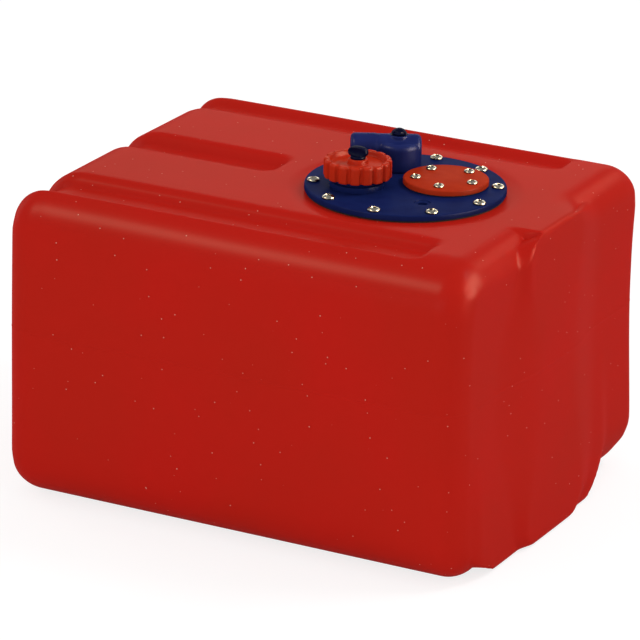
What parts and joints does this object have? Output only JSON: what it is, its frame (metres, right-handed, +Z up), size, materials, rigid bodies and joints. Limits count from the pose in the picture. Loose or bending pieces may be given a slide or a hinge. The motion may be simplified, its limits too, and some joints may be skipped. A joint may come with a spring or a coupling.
{
  "type": "inboard fuel tank",
  "caption": "Rounded moulded fuel tank with a bolted top flange carrying a screw filler cap with a vent screw, a blank gauge cover and a swivelling hose elbow with a tap.",
  "frame": {"origin": "middle of the tank's box at the height of its flat bottom", "axes": "+X along the length towards the raised end panel, +Y from the long front face to the back, +Z up"},
  "size_m": [0.462, 0.38, 0.3312],
  "materials": {
    "red_tank": "fine-grained satin",
    "red_cover": "satin",
    "red_cap": "satin",
    "blue_plastic": "satin",
    "navy_plastic": "satin",
    "stainless": "polished",
    "brass": "turned",
    "rubber": "matt",
    "natural_nylon": "matt",
    "aluminium": "drawn"
  },
  "bodies": {
    "tank": {"tank_shell": "red_tank", "flange_inserts": "brass", "flange_gasket": "rubber", "flange_plate": "blue_plastic", "flange_screws": "stainless", "gauge_cover": "red_cover", "cover_gasket": "rubber", "cover_inserts": "brass", "cover_screws": "stainless"},
    "cap_seal": {"cap_seal": "rubber"},
    "cap_washer": {"cap_slip_washer": "natural_nylon"},
    "cap": {"filler_cap": "red_cap"},
    "vent_clip": {"vent_clip": "stainless", "vent_oring": "rubber"},
    "vent_screw": {"vent_screw": "navy_plastic"},
    "elbow": {"hose_elbow": "blue_plastic", "elbow_oring": "rubber", "elbow_nut": "blue_plastic", "dip_tube": "aluminium", "foot_strainer": "natural_nylon", "tap_gland": "navy_plastic"},
    "tap": {"tap_plug": "brass", "tap_oring": "rubber", "tap_key": "navy_plastic"}
  },
  "joints": [
    {"name": "cap_lift", "type": "slide", "parent": "tank", "child": "cap_seal", "axis": [0, 0, 1], "range_m": [0, 0.08]},
    {"name": "cap_rise", "type": "slide", "parent": "cap_seal", "child": "cap_washer", "axis": [0, 0, 1], "range_m": [0, 0.0091]},
    {"name": "cap_turn", "type": "hinge", "parent": "cap_washer", "child": "cap", "pos_m": [0.03965, -0.0316, 0.32], "axis": [0, 0, 1], "range_deg": [0, 540]},
    {"name": "vent_rise", "type": "slide", "parent": "cap", "child": "vent_clip", "axis": [0, 0, 1], "range_m": [0, 0.0025]},
    {"name": "vent_turn", "type": "hinge", "parent": "vent_clip", "child": "vent_screw", "pos_m": [0.03965, -0.0316, 0.32], "axis": [0, 0, 1], "range_deg": [0, 722]},
    {"name": "elbow_swivel", "type": "hinge", "parent": "tank", "child": "elbow", "pos_m": [0.04675, 0.0345, 0.31], "axis": [0, 0, 1], "range_deg": [-165, 12]},
    {"name": "tap_turn", "type": "hinge", "parent": "elbow", "child": "tap", "pos_m": [0.04675, 0.0345, 0.31], "axis": [0, 0, 1], "range_deg": [0, 90]}
  ],
  "couplings": [
    {"joint": "cap_rise", "follows": "cap_turn", "m_per_rad": 0.00095493},
    {"joint": "vent_turn", "follows": "vent_rise", "rad_per_m": 5026.5}
  ]
}
